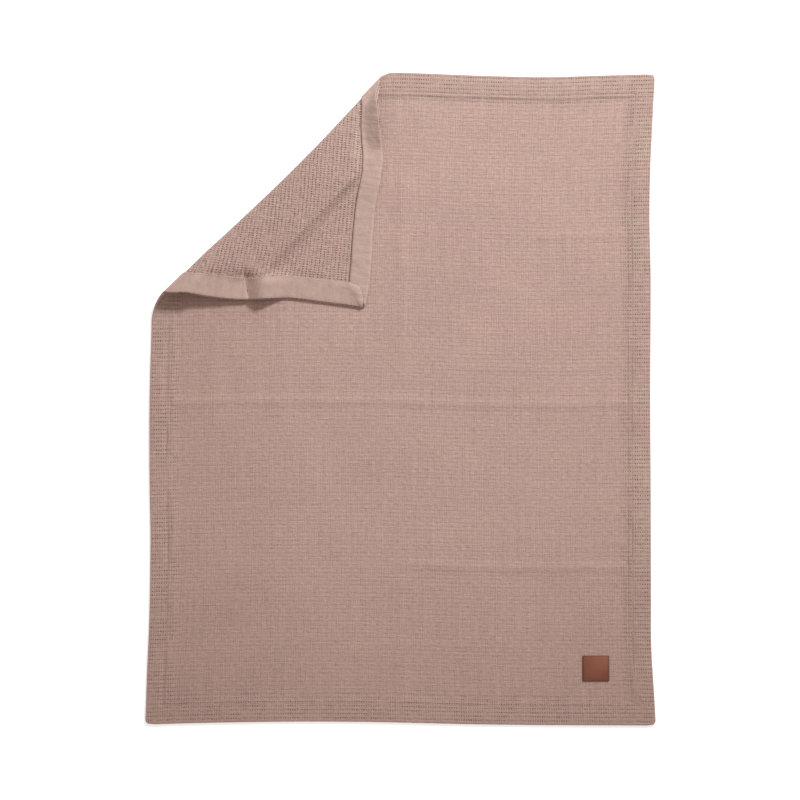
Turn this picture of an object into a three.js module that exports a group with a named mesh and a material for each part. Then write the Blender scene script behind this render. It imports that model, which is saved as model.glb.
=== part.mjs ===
import * as THREE from "three";

// A cotton cellular blanket that lies flat, front up, with its top left corner turned
// over to the front. Plain woven facings run along the four edges on the back, mitred at
// the corners, and a leather patch sits near the bottom right corner of the front.
// Millimetres. X runs across the blanket, Y along it, Z up from the surface it lies on.

// Driving sizes
const CLOTH_WIDTH = 758;
const CLOTH_LENGTH = 986;
const CLOTH_THICKNESS = 2.4;
const CORNER_RADIUS = 8;
const FACING_WIDTH = 32;
const FACING_THICKNESS = 1.0;
const FACING_INSET = 1.2;
const SEAM_RAMP = 6;
const CLEARANCE = 0.5;
const MITRE_GAP = 0.45;
const LAYER_GAP = 0.6;
const LABEL_WIDTH = 40.5;
const LABEL_HEIGHT = 38.5;
const LABEL_THICKNESS = 1.2;
const LABEL_CORNER = 1.5;
const LABEL_FROM_RIGHT = 85;
const LABEL_FROM_BOTTOM = 86.5;

// Colours and roughness
const CELL_CLOTH = { colour: 0xbf9f92, roughness: 0.92 };
const FACING_CLOTH = { colour: 0xc4a496, roughness: 0.88 };
const LEATHER = { colour: 0x87503f, roughness: 0.6 };

// Worked out from them
const HALF_THICKNESS = CLOTH_THICKNESS / 2;
const FACING_STEP = FACING_THICKNESS + CLEARANCE;
const REST_RISE = CLOTH_THICKNESS + LAYER_GAP;
const INNER = FACING_INSET + FACING_WIDTH;
const SEAM_END = INNER + SEAM_RAMP;

// How far each edge bows out of the straight rectangle, by distance along the edge from
// its left or bottom end.
const LEFT_EDGE = [
  { along: 0, out: 6.6 },
  { along: 80, out: 3.9 },
  { along: 155, out: 0.6 },
  { along: 231, out: -0.8 },
  { along: 285, out: -1.3 },
  { along: 350, out: -0.2 },
  { along: 409, out: 0.3 },
  { along: 484, out: 0.1 },
  { along: 534, out: -0.9 },
  { along: 610, out: -2.9 },
  { along: 986, out: -3.5 },
];
const RIGHT_EDGE = [
  { along: 0, out: 9.2 },
  { along: 42, out: 6.9 },
  { along: 118, out: 2.4 },
  { along: 193, out: 1.9 },
  { along: 371, out: 1.4 },
  { along: 492, out: 0.7 },
  { along: 613, out: 1.3 },
  { along: 686, out: 1.4 },
  { along: 761, out: -0.3 },
  { along: 837, out: 0.7 },
  { along: 913, out: 4.1 },
  { along: 986, out: 7.9 },
];
const BOTTOM_EDGE = [
  { along: 0, out: -0.2 },
  { along: 107, out: -3 },
  { along: 220, out: -4.5 },
  { along: 334, out: -4 },
  { along: 485, out: -0.6 },
  { along: 600, out: 0.7 },
  { along: 758, out: 1.4 },
];
const TOP_EDGE = [
  { along: 0, out: 2 },
  { along: 361, out: 2.2 },
  { along: 485, out: -2.1 },
  { along: 590, out: -4.6 },
  { along: 675, out: -2.3 },
  { along: 758, out: -0.1 },
];

// Low ridges left from storage. A ridge runs across the cloth or along it, at a distance
// from the bottom or left edge, between two ends where it fades out.
const CREASES = [
  { across: true, at: 239, from: 370, to: 790, height: 1.0, reach: 12 },
  { across: true, at: 487, from: -30, to: 790, height: 1.0, reach: 12 },
  { across: false, at: 96, from: 440, to: 620, height: 1.0, reach: 12 },
  { across: false, at: 381, from: 500, to: 840, height: 1.1, reach: 12 },
];
const CREASE_FADE = 30;

// The turned corner. The fold runs down to the left from the top edge to the left edge.
// Places on the cloth are measured along the fold (a) and square to it (b, towards the
// bottom right) from the middle of the fold's outer line.
const FOLD_MIDDLE = { u: 186.9, v: 817.7 };
const FOLD_DIRECTION = { x: -0.7163, y: -0.6977 };
const FOLD_SIDE = { x: -FOLD_DIRECTION.y, y: FOLD_DIRECTION.x };

// The loop of the fold, by place along it: how far its outer line bows inwards, where the
// cloth leaves the surface (foot) and where it lies level again (top), both from that
// line, its height, how far the cloth slides up along the fold as it goes round, and how
// far past the loop the corner settles into its own lie.
const LOOP = [
  { along: -270, bow: -6, foot: 4.2, top: 4, height: 8, slide: -15, settle: 12 },
  { along: -243, bow: -4.6, foot: 4.2, top: 4, height: 8, slide: -13, settle: 14 },
  { along: -216, bow: -3.2, foot: 4.6, top: 4.4, height: 8, slide: -10, settle: 18 },
  { along: -180, bow: -1.2, foot: 5.4, top: 5, height: 10, slide: -6, settle: 28 },
  { along: -145, bow: 1.1, foot: 5.8, top: 5.4, height: 13.5, slide: -2, settle: 40 },
  { along: -85, bow: 4.5, foot: 6.4, top: 5.6, height: 16, slide: 0, settle: 70 },
  { along: 0, bow: 5.8, foot: 7, top: 6, height: 16, slide: 0, settle: 80 },
  { along: 110, bow: 4, foot: 9, top: 5, height: 19, slide: 4, settle: 80 },
  { along: 150, bow: 3, foot: 11, top: 4, height: 21, slide: 7, settle: 70 },
  { along: 190, bow: 3.3, foot: 12, top: 2.5, height: 23, slide: 11, settle: 60 },
  { along: 280, bow: 3.7, foot: 15, top: 1, height: 27, slide: 14, settle: 50 },
];

// The crease beyond the loop, by place along the fold: the share of its height that the
// cloth loses gently before it, how far past the loop it starts, and how wide its fall is.
const CREASE_PAST_LOOP = [
  { along: -270, gentle: 0.1, crease: 50, fall: 13 },
  { along: -243, gentle: 0.1, crease: 55, fall: 13 },
  { along: -216, gentle: 0.1, crease: 60, fall: 13 },
  { along: -180, gentle: 0.1, crease: 61, fall: 13 },
  { along: -145, gentle: 0.1, crease: 62, fall: 13 },
  { along: -85, gentle: 0.1, crease: 75, fall: 15 },
  { along: 0, gentle: 0.12, crease: 89, fall: 18 },
  { along: 110, gentle: 0.3, crease: 99, fall: 25 },
  { along: 150, gentle: 0.38, crease: 96, fall: 28 },
  { along: 190, gentle: 0.45, crease: 92, fall: 32 },
  { along: 280, gentle: 0.5, crease: 88, fall: 40 },
];

// The tip of the turned corner and the directions of its two edges as it lies.
const TIP = { x: -51.9, y: 137.5 };
const TIP_EDGE_UP = { x: 0.0905, y: 0.9959 };
const TIP_EDGE_LEFT = { x: -0.9959, y: 0.0905 };

// The turned corner's two free edges, by distance from the tip: how far the edge and the
// facing's seam bow outwards, and how high the edge (up) and the seam (ridge) stand over
// the cloth beneath.
const TURNED_SIDE = [
  { along: 0, out: 0.5, seam: 4.5, up: 0.3, ridge: 0.3 },
  { along: 45, out: 3, seam: 5, up: 0, ridge: 0 },
  { along: 110, out: 1.2, seam: 4, up: 0, ridge: 0.2 },
  { along: 150, out: 0.9, seam: 4.3, up: 0.4, ridge: 0.4 },
  { along: 166, out: 1.8, seam: 5.4, up: 1.6, ridge: 0.8 },
  { along: 190, out: 4.6, seam: 7.8, up: 3, ridge: 1.4 },
  { along: 224, out: 6.1, seam: 7.8, up: 1.2, ridge: 0.6 },
  { along: 243, out: 3.6, seam: 5.2, up: 1.6, ridge: 0.4 },
  { along: 256, out: 1.4, seam: 3, up: 7, ridge: 1.4 },
  { along: 270, out: -1, seam: 0.8, up: 12, ridge: 2.8 },
  { along: 286, out: -3.6, seam: -2, up: 15.5, ridge: 3.2 },
  { along: 300, out: -6, seam: -4.5, up: 17.5, ridge: 3.6 },
  { along: 320, out: -10.2, seam: -7.5, up: 19.5, ridge: 5 },
  { along: 335, out: -11.4, seam: -7.5, up: 20, ridge: 6.5 },
  { along: 350, out: -11.4, seam: -7, up: 18, ridge: 8 },
];
const TURNED_HEM = [
  { along: 0, out: 0, seam: -3.5, up: 0.4, ridge: 0.8 },
  { along: 40, out: -1.8, seam: -5, up: 0.2, ridge: 0.2 },
  { along: 80, out: -3.5, seam: -4.9, up: 0.2, ridge: 0.2 },
  { along: 112, out: -4.6, seam: -4.7, up: 0, ridge: 1.2 },
  { along: 126, out: -3.8, seam: -4, up: 0.4, ridge: 6 },
  { along: 138, out: -2, seam: -2.6, up: 5.6, ridge: 11 },
  { along: 147, out: -0.4, seam: -1.5, up: 10.6, ridge: 14.8 },
  { along: 154, out: 0.8, seam: -0.6, up: 12.8, ridge: 16 },
  { along: 162, out: 2, seam: 1.2, up: 11.4, ridge: 14.2 },
  { along: 170, out: 3, seam: 2.2, up: 8.2, ridge: 9.8 },
  { along: 178, out: 3.8, seam: 2.7, up: 5.2, ridge: 5.2 },
  { along: 187, out: 4.6, seam: 2.9, up: 4.6, ridge: 3.6 },
  { along: 206, out: 5.5, seam: 2.8, up: 6.2, ridge: 7.6 },
  { along: 229, out: 5.1, seam: 2.8, up: 10.6, ridge: 12.4 },
  { along: 256, out: 3.6, seam: 0.4, up: 15.5, ridge: 15.4 },
  { along: 268, out: 2.8, seam: 0.3, up: 21, ridge: 19 },
  { along: 282, out: 1.8, seam: 0.2, up: 22.6, ridge: 21 },
  { along: 320, out: 1.4, seam: 0.2, up: 24, ridge: 23.5 },
];

// How far in from a free edge its heights hold and where they end, how far past the loop
// they set in, and how far inside the seam the edge's bow dies out.
const EDGE_HOLD = 21;
const EDGE_RELEASE = 50;
const EDGE_EASE = 24;
const BOW_REACH = 90;

// The share of the loop in which the border comes down off its facing.
const LIFT_END = 0.5;

// Facets: the step of the grid, smaller where the turned corner is and smallest in the two
// stretches where its edges roll. Then the steps of the loop, and the distances past the
// loop at which the slope bends.
const GRID_STEP = 40;
const ACROSS_STEPS = [
  { from: 0, to: 232, step: 22 },
  { from: 232, to: 280, step: 12 },
  { from: 280, to: 345, step: 22 },
];
const ALONG_STEPS = [
  { from: 640, to: 766, step: 22 },
  { from: 766, to: 876, step: 11 },
  { from: 876, to: CLOTH_LENGTH, step: 20 },
];
const LOOP_STEPS = 10;
const SLOPE_BENDS = [16, 40, 62, 74, 86, 98, 110, 124];
const LABEL_CORNER_STEPS = 4;
const BEZIER_SAMPLES = 24;
const NORMAL_STEP = 0.4;
const SMALLEST_CELL = 1e-6;

function clamp01(value) {
  return Math.min(1, Math.max(0, value));
}

function ease(from, to, value) {
  const share = clamp01((value - from) / (to - from));
  return share * share * (3 - 2 * share);
}

function mix(first, second, share) {
  return first + (second - first) * share;
}

// The value of a column at a place along a table, on a smooth curve through its rows.
function readTable(rows, column, along) {
  const last = rows.length - 1;
  if (along <= rows[0].along) {
    return rows[0][column];
  }
  if (along >= rows[last].along) {
    return rows[last][column];
  }
  const i = rows.findIndex((row) => row.along >= along) - 1;
  const slope = (low, high) =>
    (rows[high][column] - rows[low][column]) / (rows[high].along - rows[low].along);
  const span = rows[i + 1].along - rows[i].along;
  const t = (along - rows[i].along) / span;
  const startSlope = slope(Math.max(i - 1, 0), i + 1) * span;
  const endSlope = slope(i, Math.min(i + 2, last)) * span;
  const start = rows[i][column] * (1 + 2 * t) * (1 - t) ** 2 + startSlope * t * (1 - t) ** 2;
  return start + rows[i + 1][column] * t * t * (3 - 2 * t) - endSlope * t * t * (1 - t);
}

// A point of the flat cloth, moved so that the square corners become round ones.
function roundCorner(u, v) {
  const fromSide = Math.min(u, CLOTH_WIDTH - u);
  const fromEnd = Math.min(v, CLOTH_LENGTH - v);
  const p = CORNER_RADIUS - fromSide;
  const q = CORNER_RADIUS - fromEnd;
  if (p <= 0 || q <= 0) {
    return { u, v };
  }
  const inward = 1 - Math.max(p, q) / Math.hypot(p, q);
  return {
    u: u + Math.sign(CLOTH_WIDTH / 2 - u) * p * inward,
    v: v + Math.sign(CLOTH_LENGTH / 2 - v) * q * inward,
  };
}

// Where a point of the flat cloth lies on the surface, with the uneven edges.
function lay(u, v) {
  const across = u / CLOTH_WIDTH;
  const up = v / CLOTH_LENGTH;
  const left = -CLOTH_WIDTH / 2 - readTable(LEFT_EDGE, "out", v);
  const right = CLOTH_WIDTH / 2 + readTable(RIGHT_EDGE, "out", v);
  const bottom = -CLOTH_LENGTH / 2 - readTable(BOTTOM_EDGE, "out", u);
  const top = CLOTH_LENGTH / 2 + readTable(TOP_EDGE, "out", u);
  return { x: mix(left, right, across), y: mix(bottom, top, up) };
}

// How much the border is lifted by the facing under it.
function facingLift(u, v) {
  const fromEdge = Math.min(u, CLOTH_WIDTH - u, v, CLOTH_LENGTH - v);
  return FACING_STEP * (1 - ease(INNER, SEAM_END, fromEdge));
}

function creaseHeight(u, v) {
  let height = 0;
  for (const crease of CREASES) {
    const off = Math.abs((crease.across ? v : u) - crease.at);
    const place = crease.across ? u : v;
    const ends = ease(crease.from, crease.from + CREASE_FADE, place) *
      (1 - ease(crease.to - CREASE_FADE, crease.to, place));
    height += crease.height * (1 - ease(0, crease.reach, off)) * ends;
  }
  return height;
}

// The loop's section at a place along the fold: a cubic curve that leaves the surface
// level at the foot, swings round the outer line and ends level at the top.
function loopSection(a) {
  const bow = readTable(LOOP, "bow", a);
  const foot = readTable(LOOP, "foot", a);
  const top = readTable(LOOP, "top", a);
  const height = readTable(LOOP, "height", a);
  const swing = -(foot + top) / 6;
  const outer = bow + HALF_THICKNESS;
  const curve = new THREE.CubicBezierCurve(
    new THREE.Vector2(outer + foot, 0),
    new THREE.Vector2(outer + swing, 0),
    new THREE.Vector2(outer + swing, height),
    new THREE.Vector2(outer + top, height),
  );
  curve.arcLengthDivisions = BEZIER_SAMPLES;
  const slide = readTable(LOOP, "slide", a);
  const length = curve.getLength();
  return { curve, length, foot: outer + foot, top: outer + top, height, slide };
}

// A turned edge's height at a depth in from it: straight from the edge to the seam, then
// level.
function riseToSeam(rows, along, depth) {
  const up = readTable(rows, "up", along);
  const ridge = readTable(rows, "ridge", along);
  return mix(up, ridge, Math.min(1, depth / INNER));
}

// The height of the turned corner over the cloth beneath, past the loop: a gentle fall to
// the crease, past which it falls fast and flattens as a square. Near the free edges it
// turns into their own heights.
function turnedHeight(u, v, a, past, loopHeight) {
  const gentle = readTable(CREASE_PAST_LOOP, "gentle", a);
  const crease = readTable(CREASE_PAST_LOOP, "crease", a);
  const fall = readTable(CREASE_PAST_LOOP, "fall", a);
  const steep = 1 - (1 - clamp01((past - crease) / fall)) ** 2;
  const lost = gentle * ease(0, 1, past / crease) + (1 - gentle) * steep;
  const inner = (loopHeight - REST_RISE) * (1 - lost);
  const fromTop = CLOTH_LENGTH - v;
  const hemShare = 1 - ease(EDGE_HOLD, EDGE_RELEASE, u);
  const sideShare = (1 - ease(EDGE_HOLD, EDGE_RELEASE, fromTop)) * (1 - hemShare);
  const hem = (riseToSeam(TURNED_HEM, fromTop, u) - inner) * hemShare;
  const side = (riseToSeam(TURNED_SIDE, u, fromTop) - inner) * sideShare;
  return Math.max(0, inner + (hem + side) * ease(0, EDGE_EASE, past));
}

// How far a turned edge's bow moves the cloth at a distance in from that edge.
function bowOut(rows, along, fromEdge) {
  const out = readTable(rows, "out", along);
  const seam = readTable(rows, "seam", along);
  const bow = mix(out, seam, Math.min(1, fromEdge / INNER));
  return bow * (1 - ease(INNER, INNER + BOW_REACH, fromEdge));
}

// Where the turned corner lies once it has settled, square to its own two edges.
function turnedPlace(u, v) {
  const fromTop = CLOTH_LENGTH - v;
  const up = u - bowOut(TURNED_HEM, fromTop, u);
  const left = fromTop - bowOut(TURNED_SIDE, u, fromTop);
  return {
    x: TIP.x + up * TIP_EDGE_UP.x + left * TIP_EDGE_LEFT.x,
    y: TIP.y + up * TIP_EDGE_UP.y + left * TIP_EDGE_LEFT.y,
  };
}

// The middle of the cloth's thickness for a point of the flat cloth.
function clothMiddle(flatU, flatV) {
  const { u, v } = roundCorner(flatU, flatV);
  const du = u - FOLD_MIDDLE.u;
  const dv = v - FOLD_MIDDLE.v;
  const a = du * FOLD_DIRECTION.x + dv * FOLD_DIRECTION.y;
  const b = du * FOLD_SIDE.x + dv * FOLD_SIDE.y;
  const loop = loopSection(a);
  const lift = facingLift(u, v);
  if (b >= loop.foot) {
    const flat = lay(u, v);
    const height = HALF_THICKNESS + Math.max(lift, creaseHeight(u, v));
    return new THREE.Vector3(flat.x, flat.y, height);
  }
  const footU = FOLD_MIDDLE.u + a * FOLD_DIRECTION.x + loop.foot * FOLD_SIDE.x;
  const footV = FOLD_MIDDLE.v + a * FOLD_DIRECTION.y + loop.foot * FOLD_SIDE.y;
  const foot = lay(footU, footV);
  const gone = loop.foot - b;
  const past = gone - loop.length;
  if (past <= 0) {
    const share = gone / loop.length;
    const point = loop.curve.getPointAt(share);
    const side = point.x - loop.foot;
    const slid = loop.slide * ease(0, 1, share);
    return new THREE.Vector3(
      foot.x + side * FOLD_SIDE.x - slid * FOLD_DIRECTION.x,
      foot.y + side * FOLD_SIDE.y - slid * FOLD_DIRECTION.y,
      HALF_THICKNESS + point.y + lift * (1 - ease(0, LIFT_END, share)),
    );
  }
  const side = loop.top - loop.foot + past;
  const settled = turnedPlace(u, v);
  const share = ease(0, readTable(LOOP, "settle", a), past);
  const height = REST_RISE + turnedHeight(u, v, a, past, loop.height);
  return new THREE.Vector3(
    mix(foot.x + side * FOLD_SIDE.x - loop.slide * FOLD_DIRECTION.x, settled.x, share),
    mix(foot.y + side * FOLD_SIDE.y - loop.slide * FOLD_DIRECTION.y, settled.y, share),
    HALF_THICKNESS + height,
  );
}

// The cloth's front direction at a point, from its slopes across and along.
function clothFront(u, v) {
  const across = clothMiddle(u + NORMAL_STEP, v).sub(clothMiddle(u - NORMAL_STEP, v));
  const along = clothMiddle(u, v + NORMAL_STEP).sub(clothMiddle(u, v - NORMAL_STEP));
  return across.cross(along).normalize();
}

// Lines of facets: even steps between the named stops of one direction.
function stations(stops, stepAt) {
  const places = [];
  for (let i = 0; i < stops.length - 1; i += 1) {
    const span = stops[i + 1] - stops[i];
    const count = Math.max(1, Math.round(span / stepAt((stops[i] + stops[i + 1]) / 2)));
    for (let k = 0; k < count; k += 1) {
      places.push(stops[i] + (span * k) / count);
    }
  }
  places.push(stops[stops.length - 1]);
  return places;
}

// The foot, ridge and foot of every crease that runs in one direction.
function creaseStops(across) {
  return CREASES.filter((crease) => crease.across === across)
    .flatMap(({ at, reach }) => [at - reach, at, at + reach]);
}

// The lines of one direction, through both borders, the creases and the ends of every
// finer stretch.
function gridLines(length, across, finer) {
  const border = [0, CORNER_RADIUS, INNER, SEAM_END];
  const farBorder = border.map((place) => length - place);
  const ends = finer.flatMap(({ from, to }) => [from, to]);
  const stops = [...new Set([...border, ...creaseStops(across), ...ends, ...farBorder])];
  stops.sort((first, second) => first - second);
  const stretchAt = (place) => finer.find(({ from, to }) => place > from && place < to);
  return stations(stops, (middle) => stretchAt(middle)?.step ?? GRID_STEP);
}

const ACROSS_STATIONS = gridLines(CLOTH_WIDTH, false, ACROSS_STEPS);
const ALONG_STATIONS = gridLines(CLOTH_LENGTH, true, ALONG_STEPS);

// A straight cut across the flat cloth, nearly parallel to the fold: the distance b at
// which it crosses the two ends of the fold's length. Positive is the bottom right side.
function foldCut(startB, endB) {
  const startA = LOOP[0].along;
  const endA = LOOP[LOOP.length - 1].along;
  return (p) => {
    const du = p[0] - FOLD_MIDDLE.u;
    const dv = p[1] - FOLD_MIDDLE.v;
    const a = du * FOLD_DIRECTION.x + dv * FOLD_DIRECTION.y;
    const b = du * FOLD_SIDE.x + dv * FOLD_SIDE.y;
    return b - mix(startB, endB, (a - startA) / (endA - startA));
  };
}

// Cuts round the loop, then where the slope beyond it bends.
function foldCuts() {
  const start = loopSection(LOOP[0].along);
  const end = loopSection(LOOP[LOOP.length - 1].along);
  const cuts = [];
  for (let i = 0; i <= LOOP_STEPS; i += 1) {
    const share = i / LOOP_STEPS;
    cuts.push(foldCut(start.foot - start.length * share, end.foot - end.length * share));
  }
  for (const past of SLOPE_BENDS) {
    cuts.push(foldCut(start.foot - start.length - past, end.foot - end.length - past));
  }
  return cuts;
}

// The two parts of a convex polygon on either side of a straight cut.
function split(polygon, cut) {
  const kept = [];
  const rest = [];
  polygon.forEach((point, i) => {
    const next = polygon[(i + 1) % polygon.length];
    const here = cut(point);
    const there = cut(next);
    if (here >= 0) {
      kept.push(point);
    }
    if (here <= 0) {
      rest.push(point);
    }
    if (here * there < 0) {
      const share = here / (here - there);
      const crossing = [mix(point[0], next[0], share), mix(point[1], next[1], share)];
      kept.push(crossing);
      rest.push(crossing);
    }
  });
  return [kept, rest];
}

function hasArea(polygon) {
  let sum = 0;
  polygon.forEach((point, i) => {
    const next = polygon[(i + 1) % polygon.length];
    sum += point[0] * next[1] - next[0] * point[1];
  });
  return sum / 2 > SMALLEST_CELL;
}

// The cells between stations, split by every cut.
function cells(across, along, cuts) {
  let polygons = [];
  for (let i = 0; i < across.length - 1; i += 1) {
    for (let k = 0; k < along.length - 1; k += 1) {
      polygons.push([
        [across[i], along[k]],
        [across[i + 1], along[k]],
        [across[i + 1], along[k + 1]],
        [across[i], along[k + 1]],
      ]);
    }
  }
  for (const cut of cuts) {
    polygons = polygons.flatMap((polygon) => split(polygon, cut).filter(hasArea));
  }
  return polygons;
}

// A closed sheet over polygons of the flat cloth, between two distances from the middle
// of the cloth's thickness, with a rim along every free side.
function sheet(polygons, front, back) {
  const corners = [];
  const numbers = new Map();
  const numberOf = (point) => {
    const key = `${point[0].toFixed(4)},${point[1].toFixed(4)}`;
    if (!numbers.has(key)) {
      numbers.set(key, corners.length);
      corners.push(point);
    }
    return numbers.get(key);
  };
  const triangles = [];
  for (const polygon of polygons) {
    const ring = polygon.map(numberOf).filter((n, i, all) => n !== all[(i + 1) % all.length]);
    for (let i = 1; i < ring.length - 1; i += 1) {
      triangles.push([ring[0], ring[i], ring[i + 1]]);
    }
  }
  const sides = new Map();
  for (const [p, q, r] of triangles) {
    for (const [from, to] of [[p, q], [q, r], [r, p]]) {
      if (!sides.delete(`${to},${from}`)) {
        sides.set(`${from},${to}`, [from, to]);
      }
    }
  }
  const count = corners.length;
  const positions = [];
  for (const distance of [front, back]) {
    for (const [u, v] of corners) {
      const point = clothMiddle(u, v).addScaledVector(clothFront(u, v), distance);
      positions.push(point.x, point.y, Math.max(0, point.z));
    }
  }
  const index = triangles.flatMap(([p, q, r]) => [p, q, r, p + count, r + count, q + count]);
  for (const [from, to] of sides.values()) {
    index.push(from, from + count, to + count, from, to + count, to);
  }
  const geometry = new THREE.BufferGeometry();
  geometry.setAttribute("position", new THREE.Float32BufferAttribute(positions, 3));
  geometry.setIndex(index);
  geometry.computeVertexNormals();
  return geometry;
}

// The band of one facing, between its outer and inner edge and its two mitres.
function facingCells(side, cuts) {
  const inBand = (places, low, high) =>
    [...new Set([low, ...places.filter((place) => place > low && place < high), high])];
  const farAcross = CLOTH_WIDTH - FACING_INSET;
  const farAlong = CLOTH_LENGTH - FACING_INSET;
  const across = {
    left: inBand(ACROSS_STATIONS, FACING_INSET, INNER),
    right: inBand(ACROSS_STATIONS, CLOTH_WIDTH - INNER, farAcross),
  }[side] ?? inBand(ACROSS_STATIONS, FACING_INSET, farAcross);
  const along = {
    bottom: inBand(ALONG_STATIONS, FACING_INSET, INNER),
    top: inBand(ALONG_STATIONS, CLOTH_LENGTH - INNER, farAlong),
  }[side] ?? inBand(ALONG_STATIONS, FACING_INSET, farAlong);
  const depth = {
    left: (p) => p[0],
    right: (p) => CLOTH_WIDTH - p[0],
    bottom: (p) => p[1],
    top: (p) => CLOTH_LENGTH - p[1],
  };
  const neighbours = side === "left" || side === "right" ? ["bottom", "top"] : ["left", "right"];
  const half = MITRE_GAP / Math.SQRT2;
  const mitres = neighbours.map((next) => (p) => depth[next](p) - depth[side](p) - half);
  let polygons = cells(across, along, cuts);
  for (const mitre of mitres) {
    polygons = polygons.map((polygon) => split(polygon, mitre)[0]).filter(hasArea);
  }
  return polygons;
}

function mesh(name, geometry, { colour, roughness }) {
  const material = new THREE.MeshStandardMaterial({ color: colour, roughness, metalness: 0 });
  const piece = new THREE.Mesh(geometry, material);
  piece.name = name;
  return piece;
}

// The cellular cloth of the whole blanket.
function makePanel(cuts) {
  const polygons = cells(ACROSS_STATIONS, ALONG_STATIONS, cuts);
  const geometry = sheet(polygons, HALF_THICKNESS, -HALF_THICKNESS);
  return mesh("panel", geometry, CELL_CLOTH);
}

// One facing, on the back of the panel.
function makeFacing(side, cuts) {
  const front = -HALF_THICKNESS - CLEARANCE;
  const geometry = sheet(facingCells(side, cuts), front, front - FACING_THICKNESS);
  return mesh(`facing_${side}`, geometry, FACING_CLOTH);
}

// The leather patch, flat on the front.
function makeLabel() {
  const halfWidth = LABEL_WIDTH / 2 - LABEL_CORNER;
  const halfHeight = LABEL_HEIGHT / 2 - LABEL_CORNER;
  const outline = new THREE.Shape();
  outline.absarc(halfWidth, halfHeight, LABEL_CORNER, 0, Math.PI / 2);
  outline.absarc(-halfWidth, halfHeight, LABEL_CORNER, Math.PI / 2, Math.PI);
  outline.absarc(-halfWidth, -halfHeight, LABEL_CORNER, Math.PI, Math.PI * 1.5);
  outline.absarc(halfWidth, -halfHeight, LABEL_CORNER, Math.PI * 1.5, Math.PI * 2);
  const geometry = new THREE.ExtrudeGeometry(outline, {
    depth: LABEL_THICKNESS,
    bevelEnabled: false,
    curveSegments: LABEL_CORNER_STEPS,
  });
  const label = mesh("label", geometry, LEATHER);
  const place = lay(CLOTH_WIDTH - LABEL_FROM_RIGHT, LABEL_FROM_BOTTOM);
  label.position.set(place.x, place.y, CLOTH_THICKNESS + CLEARANCE);
  return label;
}

const blanket = new THREE.Group();
const cuts = foldCuts();
blanket.add(makePanel(cuts));
for (const side of ["top", "right", "bottom", "left"]) {
  blanket.add(makeFacing(side, cuts));
}
blanket.add(makeLabel());

export default blanket;
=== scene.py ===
import bmesh
import bpy
import numpy as np
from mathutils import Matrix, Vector


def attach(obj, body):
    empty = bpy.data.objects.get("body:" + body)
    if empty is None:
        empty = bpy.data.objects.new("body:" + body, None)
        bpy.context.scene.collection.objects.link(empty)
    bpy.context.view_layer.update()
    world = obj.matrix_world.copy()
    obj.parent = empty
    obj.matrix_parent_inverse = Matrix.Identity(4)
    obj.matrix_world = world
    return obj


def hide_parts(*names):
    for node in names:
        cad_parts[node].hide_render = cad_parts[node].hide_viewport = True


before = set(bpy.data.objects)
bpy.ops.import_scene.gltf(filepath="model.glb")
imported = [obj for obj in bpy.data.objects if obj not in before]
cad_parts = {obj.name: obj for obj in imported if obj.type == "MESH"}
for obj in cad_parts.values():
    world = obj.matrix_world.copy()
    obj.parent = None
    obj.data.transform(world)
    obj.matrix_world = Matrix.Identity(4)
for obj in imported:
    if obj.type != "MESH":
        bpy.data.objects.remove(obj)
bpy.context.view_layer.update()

# A cotton cellular blanket that lies flat, front up, with its top left corner turned over
# to the front. Sizes are in millimetres, and MM turns them into metres. A place on the
# flat cloth is (u, v): u across it from the left edge, v along it from the bottom edge.
MM = 0.001

# Driving sizes
CLOTH_WIDTH = 758
CLOTH_LENGTH = 986
CLOTH_THICKNESS = 2.4
CORNER_RADIUS = 8
FACING_WIDTH = 32
FACING_THICKNESS = 1.0
FACING_INSET = 1.2
SEAM_RAMP = 6
CLEARANCE = 0.5
MITRE_GAP = 0.45
LAYER_GAP = 0.6
LABEL_WIDTH = 40.5
LABEL_HEIGHT = 38.5
LABEL_THICKNESS = 1.2
LABEL_CORNER = 1.5
LABEL_BEVEL = 0.35
LABEL_TURN = 11.25
LABEL_FROM_RIGHT = 85
LABEL_FROM_BOTTOM = 86.5

# Worked out from them
HALF_THICKNESS = CLOTH_THICKNESS / 2
FACING_STEP = FACING_THICKNESS + CLEARANCE
REST_RISE = CLOTH_THICKNESS + LAYER_GAP
INNER = FACING_INSET + FACING_WIDTH
SEAM_END = INNER + SEAM_RAMP

# The weave: rows of cells run across the cloth, flatter on its front than on its back
ROW_PITCH = 6.1
CELL_PITCH = 3.53
CELL_HALF_WIDTH = 0.22
CELL_HALF_HEIGHT = 0.18
FRONT_RIB = 0.14
BACK_RIB = 0.2
LINES_PER_ROW = 3

# The two seams that hold the facings draw the front in along two grooves. Each seam has its
# depth in from the side edges and from the end edges, and its groove's dip along both.
SEAMS = ((27.5, 28.3, 1.0, 0.5), (33, 34.4, 0.7, 0.75))
GROOVE_WIDTH = 3.0
GROOVE_SHARE = 0.8
BACK_GROOVE = (36, 36, 0.7, 0.7)
RELIEF_START = (0.5, 4)
STITCH_SINK = 0.7
STITCH_PITCH = 3.6
STITCH_LENGTH = 2.4
STITCH_RADIUS = 0.36
STITCH_BELLY = 0.55
FACING_STITCH_INSET = 2.2
PUCKER_HEIGHT = 0.7
PUCKER_TOP = (10, 12)

# Uneven waves, each with its height and its length
GROOVE_WANDER = (0.9, 90)
GROOVE_UNEVEN = (1.3, 230)
STITCH_WANDER = (0.3, 31)
PUCKER_WAVE = (1, 26)
CREASE_WANDER = (1.6, 190)
CREASE_UNEVEN = (0.45, 110)


def table(columns, *rows):
    """A short table as one array per named column."""
    return dict(zip(columns.split(), np.array(rows, float).T))


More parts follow.
